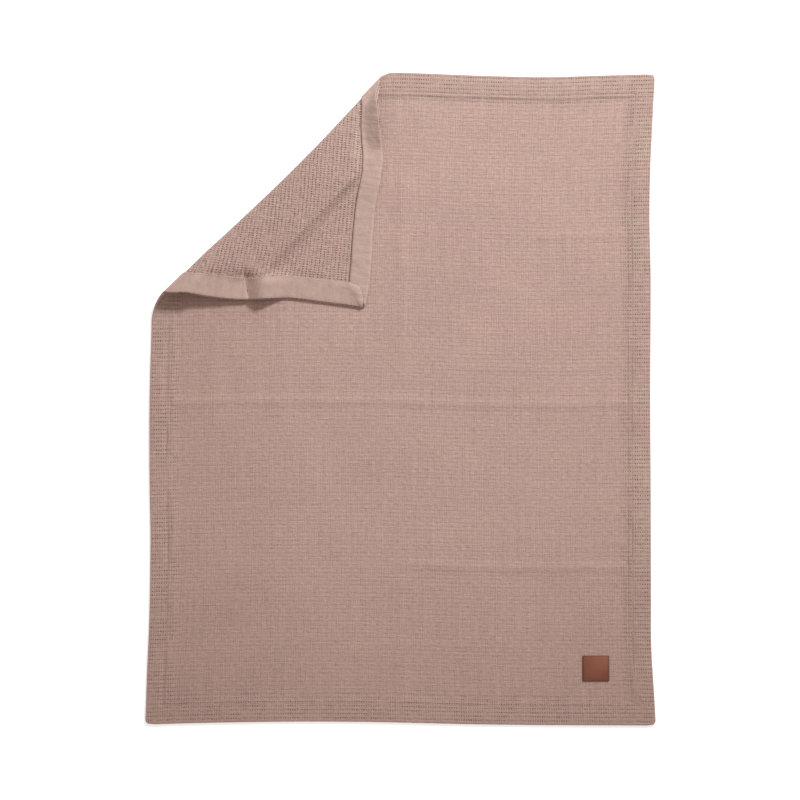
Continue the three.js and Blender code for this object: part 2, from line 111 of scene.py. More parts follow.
# How far each edge bows out of the straight rectangle, by distance along the edge
LEFT_EDGE = table(
    "along out",
    (0, 6.6), (80, 3.9), (155, 0.6), (231, -0.8), (285, -1.3), (350, -0.2), (409, 0.3),
    (484, 0.1), (534, -0.9), (610, -2.9), (986, -3.5),
)
RIGHT_EDGE = table(
    "along out",
    (0, 9.2), (42, 6.9), (118, 2.4), (193, 1.9), (371, 1.4), (492, 0.7), (613, 1.3), (686, 1.4),
    (761, -0.3), (837, 0.7), (913, 4.1), (986, 7.9),
)
BOTTOM_EDGE = table(
    "along out",
    (0, -0.2), (107, -3), (220, -4.5), (334, -4), (485, -0.6), (600, 0.7), (758, 1.4),
)
TOP_EDGE = table(
    "along out",
    (0, 2), (361, 2.2), (485, -2.1), (590, -4.6), (675, -2.3), (758, -0.1),
)

# Low ridges left from storage: at a distance from the bottom edge, or from the left edge
# where they run along the cloth, between two ends where they fade out.
CREASES_ACROSS = table(
    "at start end height reach",
    (239, 370, 790, 1.0, 12), (487, -30, 790, 1.0, 12), (278, 670, 790, 0.6, 9),
    (161, 680, 730, 0.4, 8), (743, 560, 790, 0.5, 10), (542, 440, 690, 0.3, 12),
    (664, 480, 560, 0.3, 9), (355, 60, 240, 0.3, 10), (118, 330, 520, 0.3, 10),
)
CREASES_ALONG = table(
    "at start end height reach",
    (96, 440, 620, 1.0, 12), (381, 500, 840, 1.1, 12), (379, 30, 330, 0.5, 12),
    (202, 440, 610, 0.6, 10), (182, 180, 330, 0.4, 9), (137, 140, 200, 0.5, 6),
    (560, 300, 470, 0.3, 11), (650, 560, 700, 0.3, 10), (470, 120, 210, 0.3, 8),
)
CREASE_FADE = 30

# The turned corner. Places are measured along the fold (a) and square to it (b).
FOLD_MIDDLE = np.array((186.9, 817.7))
FOLD_DIRECTION = np.array((-0.7163, -0.6977))
FOLD_SIDE = np.array((0.6977, -0.7163))

# The loop of the fold, by place along it: how far its outer line bows inwards, where the
# cloth leaves the surface (foot) and where it lies level again (top), its height, how far
# the cloth slides along the fold as it goes round, and how far past the loop the corner
# settles into its own lie. Then the share of its height that the cloth loses gently before
# the crease, where the crease starts and how wide the fall past it is.
LOOP = table(
    "along bow foot top height slide settle gentle crease fall",
    (-270, -6, 4.2, 4, 8, -15, 12, 0.1, 50, 13),
    (-243, -4.6, 4.2, 4, 8, -13, 14, 0.1, 55, 13),
    (-216, -3.2, 4.6, 4.4, 8, -10, 18, 0.1, 60, 13),
    (-180, -1.2, 5.4, 5, 10, -6, 28, 0.1, 61, 13),
    (-145, 1.1, 5.8, 5.4, 13.5, -2, 40, 0.1, 62, 13),
    (-85, 4.5, 6.4, 5.6, 16, 0, 70, 0.1, 75, 15),
    (0, 5.8, 7, 6, 16, 0, 80, 0.12, 89, 18),
    (110, 4, 9, 5, 19, 4, 80, 0.3, 99, 25),
    (150, 3, 11, 4, 21, 7, 70, 0.38, 96, 28),
    (190, 3.3, 12, 2.5, 23, 11, 60, 0.45, 92, 32),
    (280, 3.7, 15, 1, 27, 14, 50, 0.5, 88, 40),
)

# The turned hem ends in a rounded lap over the other facing. Its outline is given by the
# depth from the left edge (u) and from the top edge. It stands higher by a rise and a puff:
# each grows between two distances past the mitre, and the puff also in from the lap's rim.
LAP_OUTLINE = ((33.4, 33.4), (29, 16), (24, 11.4), (18, 8), (1, 4))
LAP_RISE = 1.6
LAP_RISE_SPAN = (-9, -1)
LAP_PUFF = 1.1
LAP_PUFF_SPAN = (-30, 0)
LAP_PUFF_INSET = 7

# The tip of the turned corner and the directions of its two edges as it lies
TIP = np.array((-51.9, 137.5))
TIP_EDGE_UP = np.array((0.0905, 0.9959))
TIP_EDGE_LEFT = np.array((-0.9959, 0.0905))

# The turned corner's two free edges, by distance from the tip: how far the edge and the
# facing's seam bow outwards, and how high the edge (up) and the seam (ridge) stand over
# the cloth beneath.
TURNED_SIDE = table(
    "along out seam up ridge",
    (0, 0.5, 4.5, 0.3, 0.3), (45, 3, 5, 0, 0), (110, 1.2, 4, 0, 0.2), (150, 0.9, 4.3, 0.4, 0.4),
    (166, 1.8, 5.4, 1.6, 0.8), (190, 4.6, 7.8, 3, 1.4), (224, 6.1, 7.8, 1.2, 0.6),
    (243, 3.6, 5.2, 1.6, 0.4), (256, 1.4, 3, 7, 1.4), (270, -1, 0.8, 12, 2.8),
    (286, -3.6, -2, 15.5, 3.2), (300, -6, -4.5, 17.5, 3.6), (320, -10.2, -7.5, 19.5, 5),
    (335, -11.4, -7.5, 20, 6.5), (350, -11.4, -7, 18, 8),
)
TURNED_HEM = table(
    "along out seam up ridge",
    (0, 0, -3.5, 0.4, 0.8), (40, -1.8, -5, 0.2, 0.2), (80, -3.5, -4.9, 0.2, 0.2),
    (112, -4.6, -4.7, 0, 1.2), (126, -3.8, -4, 0.4, 6), (138, -2, -2.6, 5.6, 11),
    (147, -0.4, -1.5, 10.6, 14.8), (154, 0.8, -0.6, 12.8, 16), (162, 2, 1.2, 11.4, 14.2),
    (170, 3, 2.2, 8.2, 9.8), (178, 3.8, 2.7, 5.2, 5.2), (187, 4.6, 2.9, 4.6, 3.6),
    (206, 5.5, 2.8, 6.2, 7.6), (229, 5.1, 2.8, 10.6, 12.4), (256, 3.6, 0.4, 15.5, 15.4),
    (268, 2.8, 0.3, 21, 19), (282, 1.8, 0.2, 22.6, 21), (320, 1.4, 0.2, 24, 23.5),
)
# Sharp creases across the turned hem, by distance from the tip: how far each leans towards
# the fold over its length, how deep it is, and how far its flanks reach towards the tip and
# towards the fold.
HEM_CREASES = table(
    "along lean dip near far",
    (186, -9, 2.6, 22, 3.5), (230, -2, 1.1, 4, 2.4), (141, 2, 0.5, 5, 3), (95, -5, 0.4, 5, 4),
    (251, 5, 0.5, 4, 4), (62, 4, 0.3, 5, 3),
)
HEM_CREASE_FADE = 16

# The rows of cells on the turned corner: how they bow about a middle, how far on the cells
# in a row are counted, and between which distances past the loop this sets in.
TURNED_ROW_BOW = 5e-6
TURNED_ROW_MIDDLE = 155
TURNED_CELL_SHIFT = 9
WEAVE_EASE = (-24, 6)

# The edges' rise sets in over a distance past the loop, holds up to a depth and ends at
# another. Their bows reach on past the facings. The facings' lift ends within the loop.
EDGE_EASE = 24
EDGE_HOLD = 21
EDGE_RELEASE = 50
BOW_REACH = 90
LIFT_END = 0.5

# Facets
ACROSS_STEP = 8.6
MAIN_CREASE = 0.9
LOOP_STEPS = 22
SLOPE_BENDS = (
    5, 10, 16, 24, 32, 40, 47, 53, 58, 63, 67, 71, 75, 79, 83, 87, 91, 96, 102, 108, 115,
)
SECTION_SAMPLES = 33
NORMAL_STEP = 0.4
RIM_REACH = 1.1
RIM_LINES = (0, 0.3, RIM_REACH, 3)
RIM_ROOM = 0.5
FACING_RIM = 1
FACING_STEPS = (3.2, 3.0)
CUT_SNAP = 0.02
MITRE_SLOPE = 0.7

# Where a sheet's faces lie on the baked image
BAKE_SIZE = (0.48, 0.98)
BAKE_MARGIN = 0.01
BAKE_BACK = 0.5

# Colours, and how high each surface's fine relief is
ROSE = (0.43, 0.272, 0.236, 1)
SAND = (0.43, 0.296, 0.238, 1)
RIM_ROSE = (0.43, 0.252, 0.232, 1)
# Painted shade: the darker rose that the front's colour turns to towards the bottom and the sides
PAINTED_SHADE_ROSE = (0.35, 0.218, 0.18, 1)
# Painted shadow: the near black brown that open cells are painted, the shade of what lies beneath
# them
CELL_HOLE_SHADOW = (0.15, 0.066, 0.055, 1)
TAPE_ROSE = (0.453, 0.302, 0.257, 1)
TAPE_SAND = (0.453, 0.313, 0.257, 1)
THREAD_DARK = (0.3, 0.185, 0.16, 1)
THREAD_LIGHT = (0.42, 0.27, 0.235, 1)
LEATHER_DARK = (0.155, 0.038, 0.02, 1)
LEATHER_LIGHT = (0.218, 0.068, 0.032, 1)
FLOOR_GREY = (0.7, 0.7, 0.7, 1)
CLOTH_RELIEF = 0.75
TAPE_RELIEF = 0.5
FINE_RELIEF = 0.1
THREAD_PLY = 0.7
PEBBLES_PER_METRE = 1300

# The stage, in metres, degrees and watts: one lamp, a pale world and a camera straight above
FLOOR_HALF = 8
FLOOR_GLOW = 0.5
LAMP_POWER = 160
LAMP_SIZE = 0.65
LAMP_COLOUR = (0.885, 0.965, 1)
LAMP_DISTANCE = 3.6
LAMP_AZIMUTH = 60
LAMP_ELEVATION = 36
LAMP_AIM = (-1.5, 1.0, 0)
WORLD_COLOUR = (1, 0.93, 0.885, 1)
WORLD_STRENGTH = 0.56
CAMERA_PLACE = (0.0004, -0.0011, 2.865)
CAMERA_LENS = 85
CAMERA_SENSOR = 36


def ease(start, end, value):
    """0 before start, 1 after end, and 3 s^2 - 2 s^3 of the share s in between."""
    share = np.clip((value - start) / (end - start), 0, 1)
    return share * share * (3 - 2 * share)


def mix(first, second, share):
    """A straight blend: first, plus a share of the way to second."""
    return first + (second - first) * share


def read(rows, column, along):
    """A column's value at places along a table, on a cubic curve through its rows whose
    slope at a row is the slope between its two neighbours."""
    x, y = rows["along"], rows[column]
    along = np.clip(along, x[0], x[-1])
    i = np.clip(np.searchsorted(x, along) - 1, 0, len(x) - 2)
    before, after = np.maximum(i - 1, 0), np.minimum(i + 2, len(x) - 1)
    span = x[i + 1] - x[i]
    t = (along - x[i]) / span
    start_slope = (y[i + 1] - y[before]) / (x[i + 1] - x[before]) * span
    end_slope = (y[after] - y[i]) / (x[after] - x[i]) * span
    rise = y[i] * (1 + 2 * t) * (1 - t) ** 2 + start_slope * t * (1 - t) ** 2
    return rise + y[i + 1] * t * t * (3 - 2 * t) - end_slope * t * t * (1 - t)


def edge_depths(u, v, least=np.minimum):
    """The distances to the nearer side edge and to the nearer end edge of the flat cloth."""
    return least(u, CLOTH_WIDTH - u), least(v, CLOTH_LENGTH - v)


def from_edge(u, v):
    """The distance to the nearest edge of the flat cloth."""
    return np.minimum(*edge_depths(u, v))


def round_corners(u, v):
    """Flat places with the square corners drawn in to a round: within the radius of two
    edges, a point moves inwards until its larger depth is its distance from the centre."""
    p, q = (CORNER_RADIUS - depth for depth in edge_depths(u, v))
    near = (p > 0) & (q > 0)
    reach = np.where(near, np.hypot(p, q), 1)
    inward = np.where(near, 1 - np.maximum(p, q) / reach, 0)
    return (
        u + np.sign(CLOTH_WIDTH / 2 - u) * p * inward,
        v + np.sign(CLOTH_LENGTH / 2 - v) * q * inward,
    )


def lay(u, v):
    """Where flat cloth lies: a blend between the bowed left and right edges, and between
    the bowed bottom and top edges."""
    left = -CLOTH_WIDTH / 2 - read(LEFT_EDGE, "out", v)
    right = CLOTH_WIDTH / 2 + read(RIGHT_EDGE, "out", v)
    bottom = -CLOTH_LENGTH / 2 - read(BOTTOM_EDGE, "out", u)
    top = CLOTH_LENGTH / 2 + read(TOP_EDGE, "out", u)
    return mix(left, right, u / CLOTH_WIDTH), mix(bottom, top, v / CLOTH_LENGTH)


def facing_lift(u, v):
    """How much the facing beneath lifts the border: its step up to its inner line, eased
    to nothing past the seam."""
    return FACING_STEP * (1 - ease(INNER, SEAM_END, from_edge(u, v)))


def waver(place, wave, seed):
    """An uneven wave of a height and a length: the height times the mean of three sines
    with lengths in the ratio 1 : 0.62 : 0.37, started by the seed."""
    height, length = wave
    turn = 2 * np.pi * place / length
    first, second = np.sin(turn + seed), np.sin(turn / 0.62 + 2.3 * seed)
    return height * ((first + second + np.sin(turn / 0.37 + 4.1 * seed)) / 3)


def crease_height(u, v):
    """The storage creases: each an eased ridge that wanders a little, is uneven in height
    and fades at its two ends."""
    height = np.zeros_like(u)
    for rows, place, off_axis in ((CREASES_ACROSS, u, v), (CREASES_ALONG, v, u)):
        for at, start, end, top, reach in zip(*rows.values()):
            off = np.abs(off_axis - at - waver(place, CREASE_WANDER, at))
            ends = ease(start, start + CREASE_FADE, place)
            ends *= 1 - ease(end - CREASE_FADE, end, place)
            uneven = 1 + waver(place, CREASE_UNEVEN, at + 1)
            height += top * uneven * (1 - ease(0, reach, off)) * ends
    return height


def puckers(u, v):
    """The border drawn up by its seam: short uneven waves along each edge. They rise from
    the edge, are highest a third of the way in and end past the seam."""
    height = np.zeros_like(u)
    sides = ((u, v, 1), (CLOTH_WIDTH - u, v, 2), (v, u, 3), (CLOTH_LENGTH - v, u, 4))
    for depth, along, seed in sides:
        inside = ease(0, PUCKER_TOP[0], depth) * (1 - ease(PUCKER_TOP[1], SEAM_END, depth))
        height += PUCKER_HEIGHT * inside * (1 + waver(along, PUCKER_WAVE, seed)) / 2
    return height


def loop_section(a):
    """The loop's section at places along the fold: the samples of a cubic Bezier curve
    that leaves the surface level at the foot, swings round the outer line and ends level
    at the top, with the distance travelled along it."""
    outer = read(LOOP, "bow", a) + HALF_THICKNESS
    foot, top = read(LOOP, "foot", a), read(LOOP, "top", a)
    height = read(LOOP, "height", a)
    swing = -(foot + top) / 6
    t = np.linspace(0, 1, SECTION_SAMPLES)[:, None]
    start, turn, end = (1 - t) ** 3, 3 * t * (1 - t), t ** 3
    side = outer + foot * start + swing * turn + top * end
    rise = height * (3 * t * t * (1 - t) + end)
    steps = np.hypot(np.diff(side, axis=0), np.diff(rise, axis=0))
    travelled = np.vstack([np.zeros_like(a), np.cumsum(steps, axis=0)])
    return dict(
        side=side, rise=rise, travelled=travelled, length=travelled[-1],
        foot=outer + foot, height=height, slide=read(LOOP, "slide", a),
    )


def along_section(section, distance):
    """The side and rise of the loop's section at a distance travelled along it: a straight
    blend of the samples before and after."""
    travelled = section["travelled"]
    i = np.clip((travelled < distance).sum(axis=0) - 1, 0, SECTION_SAMPLES - 2)
    column = np.arange(travelled.shape[1])
    span = travelled[i + 1, column] - travelled[i, column]
    share = np.clip((distance - travelled[i, column]) / span, 0, 1)
    return tuple(
        mix(section[key][i, column], section[key][i + 1, column], share)
        for key in ("side", "rise")
    )


def edge_to_seam(rows, columns, along, depth):
    """A blend from a turned edge's value to its seam's at a depth in from the edge, which
    holds past the seam."""
    edge, seam = (read(rows, column, along) for column in columns)
    return mix(edge, seam, np.minimum(1, depth / INNER))


def hem_creases(u, from_top):
    """The turned hem's sharp creases: each a valley with an eased flank on either side that
    fades past the facing."""
    height = np.zeros_like(u)
    for at, lean, dip, near, far in zip(*HEM_CREASES.values()):
        off = from_top - at - lean * (1 - u / INNER)
        flank = (1 - ease(0, near, -off)) * (1 - ease(0, far, off))
        height -= dip * flank * (1 - ease(INNER, INNER + HEM_CREASE_FADE, u))
    return height


def turned_height(u, v, a, past, loop_height):
    """The turned corner's height past the loop: a gentle fall, then a sharp crease past
    which the cloth falls fast and flattens as a square. Near the two free edges it is
    blended into the rise from edge to seam that their tables give, with the creases of the
    hem, and nowhere is it below 0."""
    crease, fall = read(LOOP, "crease", a), read(LOOP, "fall", a)
    gentle = read(LOOP, "gentle", a)
    steep = 1 - (1 - np.clip((past - crease) / fall, 0, 1)) ** 2
    lost = gentle * ease(0, 1, past / crease) + (1 - gentle) * steep
    inner = (loop_height - REST_RISE) * (1 - lost)
    from_top = CLOTH_LENGTH - v
    hem_share = 1 - ease(EDGE_HOLD, EDGE_RELEASE, u)
    side_share = (1 - ease(EDGE_HOLD, EDGE_RELEASE, from_top)) * (1 - hem_share)
    hem = edge_to_seam(TURNED_HEM, ("up", "ridge"), from_top, u)
    side = edge_to_seam(TURNED_SIDE, ("up", "ridge"), u, from_top)
    edges = (hem - inner) * hem_share + (side - inner) * side_share
    edges += hem_creases(u, from_top)
    return np.maximum(0, inner + edges * ease(0, EDGE_EASE, past))


def bow_out(rows, along, depth):
    """How far a turned edge's bow moves the cloth at a depth in from that edge: a blend
    from the edge's bow to the seam's, eased to nothing past the facing."""
    bow = edge_to_seam(rows, ("out", "seam"), along, depth)
    return bow * (1 - ease(INNER, INNER + BOW_REACH, depth))


def turned_place(u, v):
    """Where the turned corner lies once it has settled: from its tip along its own two
    edges, by the distances from them less their bows."""
    from_top = CLOTH_LENGTH - v
    up = u - bow_out(TURNED_HEM, from_top, u)
    left = from_top - bow_out(TURNED_SIDE, u, from_top)
    return TIP + np.outer(up, TIP_EDGE_UP) + np.outer(left, TIP_EDGE_LEFT)


def fold_places(u, v):
    """Places along the fold (a) and square to it (b): the way from the fold's middle,
    measured in those two directions."""
    away = np.stack([u, v], axis=1) - FOLD_MIDDLE
    return (away * FOLD_DIRECTION).sum(axis=1), (away * FOLD_SIDE).sum(axis=1)


def from_fold(a, b):
    """The flat places at distances along the fold (a) and square to it (b)."""
    return FOLD_MIDDLE + np.multiply.outer(a, FOLD_DIRECTION) + np.multiply.outer(b, FOLD_SIDE)


def cloth_middle(flat_u, flat_v):
    """The middle of the cloth's thickness at flat places, as (n, 3) millimetres: flat on
    the surface, then round the loop of the fold from its foot, then on top as the turned
    corner, which runs straight on from the loop and settles into its own place."""
    u, v = round_corners(flat_u, flat_v)
    a, b = fold_places(u, v)
    loop = loop_section(a)
    lift = facing_lift(u, v)
    z = HALF_THICKNESS + np.maximum(lift, crease_height(u, v)) + puckers(u, v)
    flat = np.column_stack([*lay(u, v), z])

    foot = np.column_stack(lay(*from_fold(a, loop["foot"]).T))
    gone = loop["foot"] - b
    past = gone - loop["length"]
    share = np.clip(gone / loop["length"], 0, 1)
    side, rise = along_section(loop, np.clip(gone, 0, loop["length"]))
    slid = loop["slide"] * ease(0, 1, share)
    place = foot + np.outer(side - loop["foot"], FOLD_SIDE) - np.outer(slid, FOLD_DIRECTION)
    z = HALF_THICKNESS + rise + lift * (1 - ease(0, LIFT_END, share))
    looped = np.column_stack([place, z])

    settled = ease(0, read(LOOP, "settle", a), past)[:, None]
    place = mix(place + np.outer(past, FOLD_SIDE), turned_place(u, v), settled)
    z = HALF_THICKNESS + REST_RISE + turned_height(u, v, a, past, loop["height"])
    turned = np.column_stack([place, z])
    return np.where(past[:, None] > 0, turned, np.where(gone[:, None] > 0, looped, flat))


def weave_places(flat_u, flat_v):
    """Where cells (across) and rows (along) are counted from. On the surface and round the
    loop it is the flat place. On the turned corner it is the distance from the corner's
    own edges as it lies, with the rows bowed as a square."""
    u, v = round_corners(flat_u, flat_v)
    a, b = fold_places(u, v)
    loop = loop_section(a)
    past = loop["foot"] - b - loop["length"]
    away = cloth_middle(flat_u, flat_v)[:, :2] - TIP
    up, left = (away * TIP_EDGE_UP).sum(axis=1), (away * TIP_EDGE_LEFT).sum(axis=1)
    bow = (INNER - TURNED_ROW_MIDDLE) ** 2 - (up - TURNED_ROW_MIDDLE) ** 2
    from_top = INNER + (left - INNER) * (1 + TURNED_ROW_BOW * bow)
    share = ease(*WEAVE_EASE, past)
    return (
        mix(flat_u, up + TURNED_CELL_SHIFT, share),
        mix(flat_v, CLOTH_LENGTH - from_top, share),
    )


def cloth_front(u, v):
    """The direction of the cloth's front: the cross product of its slopes across and
    along, scaled to length 1."""
    across = cloth_middle(u + NORMAL_STEP, v) - cloth_middle(u - NORMAL_STEP, v)
    along = cloth_middle(u, v + NORMAL_STEP) - cloth_middle(u, v - NORMAL_STEP)
    front = np.cross(across, along)
    return front / np.linalg.norm(front, axis=1)[:, None]


def ribs(v, height):
    """The relief of the rows of cells: a cosine along the cloth, with a trough at each
    whole row and its crests level with the cloth's face."""
    return -height * (np.cos(2 * np.pi * v / ROW_PITCH) + 1) / 2


def groove(u, v, seam):
    """A trough along the rectangle of a seam: its dip, eased to nothing over its width. It
    wanders a little, and is deeper and shallower by turns."""
    at_side, at_end, side_dip, end_dip = seam
    side_depth, end_depth = edge_depths(u, v)
    from_side, from_end = side_depth - at_side, end_depth - at_end
    off = np.abs(np.minimum(from_side, from_end) + waver(u + v, GROOVE_WANDER, at_side))
    uneven = np.maximum(0, GROOVE_SHARE + waver(u - v, GROOVE_UNEVEN, at_side))
    dip = np.where(from_side < from_end, side_dip, end_dip)
    return -dip * uneven * (1 - ease(0, GROOVE_WIDTH, off))


def hem_crease_cuts():
    """Cuts over the flat cloth along the first crease of the turned hem and its flanks."""
    at, lean, _, near, far = (column[0] for column in HEM_CREASES.values())
    return [
        (np.array((0, CLOTH_LENGTH - at - lean - off)), np.array((-lean, INNER)))
        for off in (-near, -near / 2, -near / 5, 0, far / 2, far)
    ]


def stations(stops, step):
    """Even steps of about one size between stops."""
    places = []
    for start, end in zip(stops[:-1], stops[1:]):
        count = max(1, round((end - start) / step))
        places.extend(np.linspace(start, end, count, endpoint=False))
    return np.array([*places, stops[-1]])


def rim_stops(length):
    """The lines that round off the two rims of one direction, near and far."""
    return [*RIM_LINES], [length - line for line in reversed(RIM_LINES)]


def across_stations():
    """Lines across the cloth: rims, borders, creases and even steps."""
    near, far = rim_stops(CLOTH_WIDTH)
    first, second = SEAMS[0][0], SEAMS[1][0]
    middle = [first - GROOVE_WIDTH, first, (first + second) / 2, second, BACK_GROOVE[0], SEAM_END]
    stops = [*near, *middle, *[CLOTH_WIDTH - place for place in middle], *far]
    for at, reach, top in zip(*(CREASES_ALONG[key] for key in ("at", "reach", "height"))):
        if top >= MAIN_CREASE:
            stops += [at - reach, at - reach / 2, at, at + reach / 2, at + reach]
    return stations(sorted(stops), ACROSS_STEP)


def along_stations():
    """Lines along the cloth: a few for each row of cells, and the rims."""
    near, far = rim_stops(CLOTH_LENGTH)
    step = ROW_PITCH / LINES_PER_ROW
    rows = np.arange(1, CLOTH_LENGTH / step) * step
    rows = rows[(rows > near[-1] + RIM_ROOM) & (rows < far[0] - RIM_ROOM)]
    return np.array([*near, *rows, *far])


def fold_cut(start_b, end_b):
    """A point and a normal of the straight line over the flat cloth that has two given
    distances b at the two ends of the fold."""
    start_a, end_a = LOOP["along"][[0, -1]]
    start = from_fold(start_a, start_b)
    run = from_fold(end_a, end_b) - start
    return start, np.array((-run[1], run[0]))


def fold_cuts():
    """Cuts round the loop, then where the slope beyond it bends."""
    ends = loop_section(LOOP["along"][[0, -1]])
    foot, length = ends["foot"], ends["length"]
    cuts = [fold_cut(*(foot - length * i / LOOP_STEPS)) for i in range(LOOP_STEPS + 1)]
    return cuts + [fold_cut(*(foot - length - past)) for past in SLOPE_BENDS]


def flat_cells(across, along, cuts, trims=()):
    """A flat grid over stations, with extra lines along the cuts. Of each trim, only the
    side that its normal points to is kept. Returns (n, 2) points and the faces."""
    u, v = np.meshgrid(across, along, indexing="ij")
    number = np.arange(u.size).reshape(u.shape)
    corners = (number[:-1, :-1], number[1:, :-1], number[1:, 1:], number[:-1, 1:])
    quads = np.stack([corner.ravel() for corner in corners], axis=1)
    flat = bpy.data.meshes.new("flat")
    points = np.stack([u.ravel(), v.ravel(), np.zeros(u.size)], axis=1)
    flat.from_pydata(points.tolist(), [], quads.tolist())
    cells = bmesh.new()
    cells.from_mesh(flat)
    bpy.data.meshes.remove(flat)
    for (place, normal), trim in [(cut, False) for cut in cuts] + [(cut, True) for cut in trims]:
        bmesh.ops.bisect_plane(
            cells, geom=[*cells.verts, *cells.edges, *cells.faces], dist=CUT_SNAP,
            plane_co=(*place, 0), plane_no=(*normal, 0), clear_inner=trim,
        )
    cells.verts.index_update()
    places = np.array([vertex.co.xy[:] for vertex in cells.verts])
    faces = [[vertex.index for vertex in face.verts] for face in cells.faces]
    cells.free()
    return places, faces


def free_sides(faces):
    """The sides that only one face has, in that face's direction."""
    sides = {}
    for face in faces:
        for pair in zip(face, face[1:] + face[:1]):
            if sides.pop(pair[::-1], None) is None:
                sides[pair] = True
    return list(sides)


def add_object(name, data):
    """A new object in the scene."""
    made = bpy.data.objects.new(name, data)
    bpy.context.scene.collection.objects.link(made)
    return made


def finish_mesh(name, points, faces, maps, material, nodes):
    """A smooth mesh object in metres with its UV maps, riding on the part's body and
    standing for its CAD nodes."""
    mesh = bpy.data.meshes.new(name)
    mesh.from_pydata((points * MM).tolist(), [], faces)
    for map_name, corners in maps.items():
        layer = mesh.uv_layers.new(name=map_name)
        layer.data.foreach_set("uv", np.asarray(corners, np.float32).ravel())
    mesh.polygons.foreach_set("use_smooth", np.ones(len(faces), bool))
    mesh.materials.append(material)
    mesh.validate()
    piece = add_object(name, mesh)
    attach(piece, "root")
    if nodes:
        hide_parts(*nodes)
    return piece


def sheet(name, places, faces, front, back, material, nodes, inset=None):
    """A closed sheet over flat cells. Its two faces stand front and back millimetres off
    the cloth's middle, square to it, and share their rim. The Cloth map gives the weave's
    places in metres, and OFBake lays the front beside the back. The on_back value is 1 on
    the back, and inset is a facing's depth in from its inner rim, in millimetres."""
    u, v = places.T
    middle, normal = cloth_middle(u, v), cloth_front(u, v)
    rim = {pair[0] for pair in free_sides(faces)}
    inner = [i for i in range(len(places)) if i not in rim]
    back_number = np.arange(len(places))
    back_number[inner] = len(places) + np.arange(len(inner))
    points = np.vstack([middle + normal * front[:, None],
                        (middle + normal * back[:, None])[inner]])
    points[:, 2] = np.maximum(points[:, 2], 0)
    back_faces = [back_number[face[::-1]].tolist() for face in faces]
    order = np.concatenate([np.array(face) for face in faces])
    turned = np.concatenate([np.array(face[::-1]) for face in faces])
    corner = np.concatenate([order, turned])
    woven = np.stack(weave_places(u, v), axis=1)
    low, high = places.min(axis=0), places.max(axis=0)
    bake = (places[corner] - low) / (high - low) * BAKE_SIZE + BAKE_MARGIN
    bake[len(order):, 0] += BAKE_BACK
    maps = {"Cloth": woven[corner] * MM, "OFBake": bake}
    piece = finish_mesh(name, points, faces + back_faces, maps, material, nodes)
    values = {"on_back": np.arange(len(points)) >= len(places)}
    if inset is not None:
        values["inset"] = inset[np.concatenate([np.arange(len(places)), inner])]
    for key, value in values.items():
        layer = piece.data.attributes.new(key, "FLOAT", "POINT")
        layer.data.foreach_set("value", value.astype(np.float32))
    return piece


def rim_round(depth, half):
    """A rim's half thickness at a depth in from it: the quarter of an ellipse."""
    share = np.clip(depth / RIM_REACH, 0, 1)
    return half * np.sqrt(1 - (1 - share) ** 2)


def make_panel(material):
    """The cellular cloth of the whole blanket. Each face stands half a thickness off the
    middle, lowered by its rows of cells and its grooves, which set in past the rim."""
    cuts = fold_cuts() + hem_crease_cuts()
    places, faces = flat_cells(across_stations(), along_stations(), cuts)
    u, v = places.T
    half = rim_round(from_edge(u, v), HALF_THICKNESS)
    inside = ease(*RELIEF_START, from_edge(u, v))
    row_place = weave_places(u, v)[1]
    front = ribs(row_place, FRONT_RIB) + sum(groove(u, v, seam) for seam in SEAMS)
    back = ribs(row_place, BACK_RIB) + groove(u, v, BACK_GROOVE)
    front, back = half + front * inside, -half - back * inside
    return sheet("cell_cloth", places, faces, front, back, material, ["panel"])


def beside(side, depth, run):
    """Flat places across and along the cloth, from depths in from a side and places along
    it. Both come back in rising order."""
    vertical = side in ("left", "right")
    if side in ("right", "top"):
        depth = ((CLOTH_WIDTH if vertical else CLOTH_LENGTH) - depth)[::-1]
    return (depth, run) if vertical else (run, depth)


